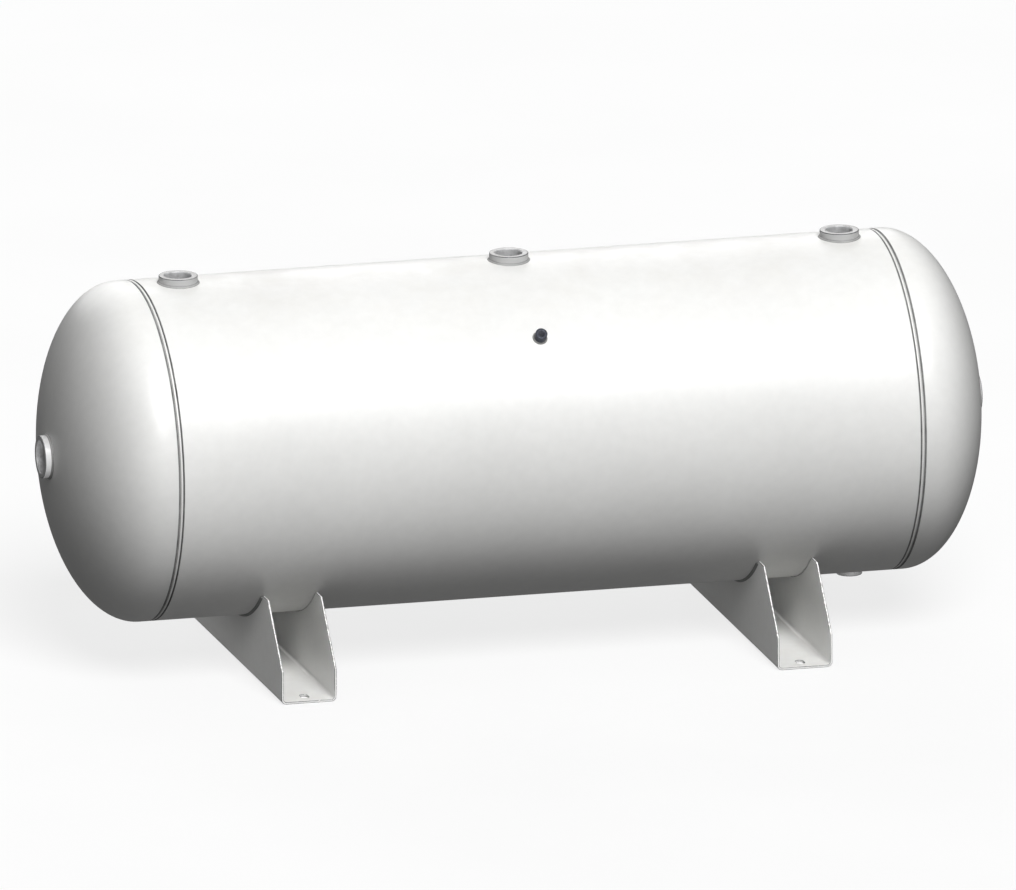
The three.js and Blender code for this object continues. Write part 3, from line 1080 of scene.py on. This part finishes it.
class TankFeet(bpy.types.Operator):
    """Bends the two channel feet and cuts their saddles, slopes and anchor slots"""
    bl_idname = "tank.feet"
    bl_label = "Channel feet"

    def execute(self, context):
        tank = settings()
        shell, foot = tank.shell, tank.foot
        half, bend, plate, top = foot.width / 2, foot.bend, foot.plate, foot.tip_height
        inner = bend - plate
        outer_steps, inner_steps, saddle_steps, slot_steps = 10, 8, 96, 16
        left, right = (-half + bend, bend), (half - bend, bend)
        section = [(-half, top), *arc(left, bend, bend, 180, 270, outer_steps),
                   *arc(right, bend, bend, 270, 360, outer_steps), (half, top),
                   (half - plate, top), *arc(right, inner, inner, 0, -90, inner_steps),
                   *arc(left, inner, inner, 270, 180, inner_steps), (-half + plate, top)]
        saddle = shell.radius + foot.fit
        drop = shell.height - top
        spread = math.degrees(math.acos(drop / saddle))
        tip, end = math.sqrt(saddle ** 2 - drop ** 2) + foot.tip, foot.length / 2
        # The side's outline clears the plate's top by a hair and its underside by more.
        above, below = top + 0.1 * MM, -10 * MM
        side = [(-end, below), (end, below), (end, foot.end_height), (tip, above),
                *arc((0, shell.height), saddle, saddle, 270 + spread, 270 - spread,
                     saddle_steps),
                (-tip, above), (-end, foot.end_height)]
        # Each section is drawn flat and then stood up: across the tank, and along it.
        stand = Matrix(((1, 0, 0, 0), (0, 0, -1, 0), (0, 1, 0, 0), (0, 0, 0, 1)))
        along = Matrix(((0, 0, 1, 0), (1, 0, 0, 0), (0, 1, 0, 0), (0, 0, 0, 1)))
        wide, straight = foot.slot_width / 2, (foot.slot_length - foot.slot_width) / 2
        for name in SIDES:
            low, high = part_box(name + "_foot")
            # Longer than the foot, so that the side's outline cuts both of its ends.
            strip = prism(name + "_channel", section, -1.05 * end, 1.05 * end, stand)
            cuts = [("INTERSECT", prism("side", side, -foot.width, foot.width, along))]
            for place in (-foot.slot_pitch / 2, foot.slot_pitch / 2):
                slot = [*arc((0, place + straight), wide, wide, 0, 180, slot_steps),
                        *arc((0, place - straight), wide, wide, 180, 360, slot_steps)]
                cuts.append(("DIFFERENCE", prism("slot", slot, -plate, 3 * plate)))
            mesh = carved(strip, cuts)
            placed(mesh, Matrix.Translation(((low.x + high.x) / 2, 0, 0)))
            finished(name + "_channel_foot", eased_edges(mesh, foot.bevel, plate),
                     name + "_foot")
        return {"FINISHED"}


def eased_edges(mesh, width, plate):
    """Bevels the cut edges, and marks them and the cut faces for the finish to wear."""
    mesh.shade_smooth()
    holder = held(mesh)
    bevel = holder.modifiers.new("Edges", "BEVEL")
    bevel.width, bevel.segments, bevel.limit_method = width, 2, "ANGLE"
    bevel.angle_limit, bevel.use_clamp_overlap = math.radians(35), False
    holder.modifiers.new("Normals", "WEIGHTED_NORMAL").keep_sharp = True
    result = evaluated_copy(holder, mesh.name)
    mark_edges(result, [(0, 0.85 * width, 1.6), (0.4 * plate, plate, 0.5)])
    return result


class TankFootWelds(bpy.types.Operator):
    """Lays the fillets along the outer faces of the feet's side walls"""
    bl_idname = "tank.foot_welds"
    bl_label = "Foot welds"

    def execute(self, context):
        tank = settings()
        shell, foot = tank.shell, tank.foot
        leg, steps = tank.bead.foot_leg, 120
        drop = shell.height - foot.tip_height
        spread = math.acos(drop / (shell.radius + foot.fit)) - leg / shell.radius
        turns = [-spread + 2 * spread * step / steps for step in range(steps + 1)]
        rim = [Vector((0, shell.radius * math.sin(turn), -shell.radius * math.cos(turn)))
               for turn in turns]
        for index, (name, side) in enumerate(SIDES.items()):
            low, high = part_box(name + "_foot")
            for wall, away in (("outer", side), ("inner", -side)):
                centre = Vector((high.x if away > 0 else low.x, 0, shell.height))
                piece = f"{name}_foot_{wall}"
                lay_bead(piece + "_bead", piece + "_weld", [centre + spoke for spoke in rim],
                         [Vector((away, 0, 0))] * len(rim), rim[0], fillet_section(leg), False,
                         20 + 2 * index + (wall == "inner"))
        return {"FINISHED"}


class TankStage(bpy.types.Operator):
    """Sets up the pale floor, the soft studio light and the camera"""
    bl_idname = "tank.stage"
    bl_label = "Stage"

    def execute(self, context):
        studio = settings().studio
        scene = context.scene
        scene.view_settings.view_transform = "Standard"
        scene.view_settings.gamma = studio.contrast
        pale_floor()
        room(scene, studio)
        sun("key_light", studio.key, 30, (0, -1, 1))
        sun("back_light", studio.back, 40, (0, 1, 0.4))
        sun("foot_fill", studio.foot_fill, 60, (-1, -0.3, 0.0),
            [name + "_channel_foot" for name in SIDES])
        sun("port_fill", studio.port_fill, 60, (0, -1, -0.3),
            ["drain_port_ring", "end_port_left_ring", "gauge_port_ring"], shadow=False)
        camera(scene, studio)
        return {"FINISHED"}


def pale_floor():
    """A large pale floor that mostly glows by itself, and that can't be seen from below."""
    reach, drop, matt_share = 8.0, 0.2 * MM, 0.16
    corners = [(x, y, -drop) for x, y in box_outline(-reach, reach, reach)]
    floor = held(mesh_of("floor", corners, [(0, 1, 2, 3)]))
    paint = (*settings().finish.floor, 1)
    material = bpy.data.materials.new("pale_floor")
    material.use_nodes = True
    nodes = Nodes(material.node_tree)
    nodes.tree.nodes.clear()
    place = nodes.wire("ShaderNodeTexCoord", output="Object")
    tone = nodes.remap(nodes.noise(place, SPOTS["floor"], 3.0), 0.3, 0.7, 0.985, 1.0)
    lit = nodes.wire("ShaderNodeEmission", {"Color": paint, "Strength": tone})
    matt = nodes.wire("ShaderNodeBsdfDiffuse", {"Color": paint})
    seen = nodes.wire("ShaderNodeMixShader", {0: matt_share, 1: lit, 2: matt})
    under = nodes.wire("ShaderNodeNewGeometry", output="Backfacing")
    clear = nodes.wire("ShaderNodeBsdfTransparent")
    both = nodes.wire("ShaderNodeMixShader", {0: under, 1: seen, 2: clear})
    nodes.new("ShaderNodeOutputMaterial", {"Surface": both})
    floor.data.materials.append(material)
    floor.visible_diffuse = floor.visible_glossy = False


def room(scene, studio):
    """A dim even room for the light, which the camera itself sees as near white."""
    scene.world = bpy.data.worlds.new("studio_room")
    scene.world.use_nodes = True
    nodes = Nodes(scene.world.node_tree)
    nodes.tree.nodes.clear()
    up = nodes.split(nodes.wire("ShaderNodeTexCoord", output="Generated"))[2]
    above = nodes.remap(up, 0.0, 0.9, studio.side, studio.top, smooth=True)
    below = nodes.remap(up, -0.9, -0.1, studio.ground - studio.side, 0.0, smooth=True)
    seen = nodes.wire("ShaderNodeLightPath", output="Is Camera Ray")
    strength = (above + below) * (1.0 - seen) + seen * studio.backdrop
    light = nodes.wire("ShaderNodeBackground", {"Color": (1, 1, 1, 1), "Strength": strength})
    nodes.new("ShaderNodeOutputWorld", {"Surface": light})


def sun(name, strength, degrees, source, receivers=(), shadow=True):
    """A broad soft light. With receivers named, it reaches those pieces alone."""
    light = bpy.data.lights.new(name, "SUN")
    light.energy, light.angle, light.use_shadow = strength, math.radians(degrees), shadow
    lamp = bpy.data.objects.new(name, light)
    if receivers:
        reached = bpy.data.collections.new(name + "_receivers")
        lamp.light_linking.receiver_collection = reached
        for receiver in receivers:
            reached.objects.link(bpy.data.objects[receiver])
    lamp.rotation_euler = Vector(source).to_track_quat("Z", "Y").to_euler()
    bpy.context.scene.collection.objects.link(lamp)


def camera(scene, studio):
    """A camera without perspective, turned to the studio's view of the tank."""
    turn, rise = studio.azimuth, studio.elevation
    back = Vector((math.sin(turn) * math.cos(rise), -math.cos(turn) * math.cos(rise),
                   math.sin(rise)))
    rotation = back.to_track_quat("Z", "Y")
    right, up = rotation @ Vector((1, 0, 0)), rotation @ Vector((0, 1, 0))
    middle = Vector((0, 0, settings().shell.height))
    distance, nearest, farthest = 6, 0.1, 40
    lens = bpy.data.cameras.new("camera")
    lens.type, lens.ortho_scale = "ORTHO", studio.width
    lens.clip_start, lens.clip_end = nearest, farthest
    eye = bpy.data.objects.new("camera", lens)
    eye.location = middle - right * studio.aim_left - up * studio.aim_below + back * distance
    eye.rotation_euler = rotation.to_euler()
    scene.collection.objects.link(eye)
    scene.camera = eye


STEPS = (TankShellPlate, TankLongSeam, TankHeads, TankGirthSeams, TankPorts, TankPortWelds,
         TankFeet, TankFootWelds, TankStage)


class TankPanel(bpy.types.Panel):
    bl_idname = "VIEW3D_PT_tank"
    bl_label = "Air receiver tank"
    bl_space_type = "VIEW_3D"
    bl_region_type = "UI"
    bl_category = "Tank"

    def draw(self, context):
        for step in STEPS:
            self.layout.operator(step.bl_idname)


CLASSES = (TankPortTop, TankPortEnd, TankPortDrain, TankPortGauge, TankShell, TankHead, TankBead,
           TankFoot, TankFinish, TankStudio, TankSettings, *STEPS, TankPanel)


def register():
    for item in CLASSES:
        bpy.utils.register_class(item)
    bpy.types.Scene.tank = PointerProperty(type=TankSettings)


def unregister():
    del bpy.types.Scene.tank
    for item in reversed(CLASSES):
        bpy.utils.unregister_class(item)


def main():
    register()
    for step in STEPS:
        group, action = step.bl_idname.split(".")
        getattr(getattr(bpy.ops, group), action)()


if __name__ == "__main__":
    main()
